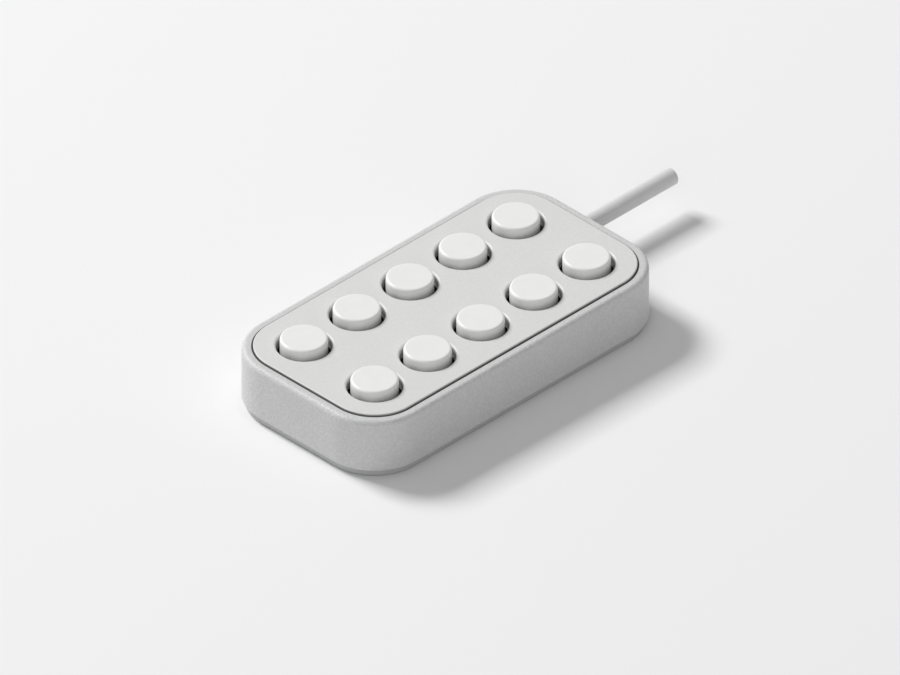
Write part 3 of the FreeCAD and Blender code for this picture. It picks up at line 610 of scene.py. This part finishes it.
def make_plate(finishes):
    """The front plate in place of its node: a flat top, and evenly rounded edges around it and its holes."""
    low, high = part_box("front_plate")
    builder = bmesh.new()
    outer_wall = rounded_wall(low.z, high.z, PLATE_EDGE)
    hole_wall = rounded_wall(low.z, high.z, HOLE_EDGE)
    walls = [[plate_outline(builder, high, inset, z) for inset, z in outer_wall]]
    for joint in frame["joints"]:
        cap_low, cap_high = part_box(f"button_cap_{button_place(joint)}")
        x, y, _ = (cap_low + cap_high) / 2
        walls.append([
            circle(builder, Vector((x, y, z)), X_AXIS, Y_AXIS, HOLE_RADIUS + inset, HOLE_SIDES)
            for inset, z in hole_wall
        ])
    for wall in walls:
        bridge_all(builder, wall)
    for end in (0, -1):
        rims = [wall[end] for wall in walls]
        edges = [builder.edges.get((rim[step - 1], rim[step])) for rim in rims for step in range(len(rim))]
        bmesh.ops.triangle_fill(builder, use_beauty=True, edges=edges, normal=Z_AXIS)
    plate = add_mesh("plate_moulding", builder, finishes["plate_plastic"])
    plate.modifiers.new("flat_top", "WEIGHTED_NORMAL").keep_sharp = True
    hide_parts("front_plate")


def spring_height(turn, rise):
    """How far a spring's wire has risen at a number of turns: wire on wire in the closed turns."""
    pitch = 2 * SPRING_WIRE_RADIUS
    closed = pitch * SPRING_CLOSED_TURNS
    if turn <= SPRING_CLOSED_TURNS:
        return pitch * turn
    if turn >= SPRING_TURNS - SPRING_CLOSED_TURNS:
        return rise - pitch * (SPRING_TURNS - turn)
    share = (turn - SPRING_CLOSED_TURNS) / (SPRING_TURNS - 2 * SPRING_CLOSED_TURNS)
    return closed + share * (rise - 2 * closed)


def make_spring(finishes, joint):
    """A coil spring in place of its node."""
    node = f"return_spring_{button_place(joint)}"
    low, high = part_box(node)
    foot = Vector(((low.x + high.x) / 2, (low.y + high.y) / 2, low.z + SPRING_WIRE_RADIUS))
    mean_radius = (high.x - low.x) / 2 - SPRING_WIRE_RADIUS
    rise = high.z - low.z - 2 * SPRING_WIRE_RADIUS
    builder = bmesh.new()
    rings = []
    for step in range(round(SPRING_TURNS * SPRING_STEPS_PER_TURN) + 1):
        turn = step / SPRING_STEPS_PER_TURN
        outwards = around(X_AXIS, Y_AXIS, FULL_TURN * turn)
        centre = foot + mean_radius * outwards + Z_AXIS * spring_height(turn, rise)
        rings.append(circle(builder, centre, outwards, Z_AXIS, SPRING_WIRE_RADIUS, SPRING_SIDES))
    bridge_all(builder, rings)
    close_ends(builder, rings)
    spring = add_mesh(f"coil_{button_place(joint)}", builder, finishes["spring_steel"])
    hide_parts(node)
    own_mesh(spring)


def make_feet(finishes):
    """Round rubber feet with grooved soles."""
    low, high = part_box("rubber_feet")
    roof = low.z + FOOT_GROOVE_DEPTH
    profile = [(FOOT_RADIUS, high.z), (FOOT_RADIUS, low.z + FOOT_EDGE), (FOOT_RADIUS - FOOT_EDGE, low.z)]
    for groove in reversed(FOOT_GROOVES):
        outer = groove + FOOT_GROOVE_WIDTH / 2
        inner = groove - FOOT_GROOVE_WIDTH / 2
        profile += [(outer, low.z), (outer, roof), (inner, roof), (inner, low.z)]
    builder = bmesh.new()
    for x in (low.x + FOOT_RADIUS, high.x - FOOT_RADIUS):
        for y in (low.y + FOOT_RADIUS, high.y - FOOT_RADIUS):
            turned(builder, profile, Vector((x, y, 0)), Z_AXIS, CIRCLE_SIDES)
    feet = add_mesh("grooved_feet", builder, finishes["black_rubber"])
    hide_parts("rubber_feet")


def make_floor():
    """A wide pale floor under the panel."""
    mesh = bpy.data.meshes.new("floor")
    builder = bmesh.new()
    bmesh.ops.create_grid(builder, x_segments=1, y_segments=1, size=FLOOR_REACH)
    builder.to_mesh(mesh)
    builder.free()
    floor = bpy.data.objects.new("floor", mesh)
    bpy.context.scene.collection.objects.link(floor)
    mesh.materials.append(Finish("floor", FLOOR_COLOUR, FLOOR_ROUGHNESS).material)


def softbox(name, direction, size, level):
    """A square lamp that gives a white surface facing it that level of brightness."""
    lamp = bpy.data.lights.new(name, "AREA")
    lamp.size = size
    lamp.energy = level * (math.pi * LAMP_DISTANCE) ** 2
    light = bpy.data.objects.new(name, lamp)
    place = Vector(direction).normalized() * LAMP_DISTANCE
    light.location = place
    light.rotation_mode = "QUATERNION"
    light.rotation_quaternion = (-place).to_track_quat("-Z", "Y")
    bpy.context.scene.collection.objects.link(light)


def make_surround():
    """An even surround, brighter where the camera, gloss or glass shows it."""
    world = bpy.data.worlds.new("studio")
    bpy.context.scene.world = world
    world.use_nodes = True
    tree = world.node_tree
    ray = tree.nodes.new("ShaderNodeLightPath")
    seen = ray.outputs["Is Camera Ray"]
    for kind in ("Is Glossy Ray", "Is Transmission Ray"):
        either = tree.nodes.new("ShaderNodeMath")
        either.operation = "MAXIMUM"
        tree.links.new(seen, either.inputs[0])
        tree.links.new(ray.outputs[kind], either.inputs[1])
        seen = either.outputs["Value"]
    level = tree.nodes.new("ShaderNodeMapRange")
    level.inputs["To Min"].default_value = SURROUND_LEVEL
    level.inputs["To Max"].default_value = BACKGROUND_LEVEL
    tree.links.new(seen, level.inputs["Value"])
    background = tree.nodes["Background"]
    background.inputs["Color"].default_value = WHITE
    tree.links.new(level.outputs["Result"], background.inputs["Strength"])


def make_light():
    """Soft studio light: an even surround, a key from the left and a weak lamp from the front."""
    make_surround()
    softbox("key", direction=(-0.85, -0.12, 0.8), size=1.8, level=0.84)
    softbox("front", direction=(0.7, -0.9, 0.7), size=3.2, level=0.12)
    bpy.context.scene.view_settings.view_transform = "Standard"


make_camera()
finishes = make_finishes()
for subpart in frame["record"]["subparts"]:
    nodes[subpart["node"]].data.materials[0] = finishes[subpart["material_slot"]]
make_cable(finishes)
make_plate(finishes)
for joint in frame["joints"]:
    make_spring(finishes, joint)
make_feet(finishes)
make_floor()
make_light()
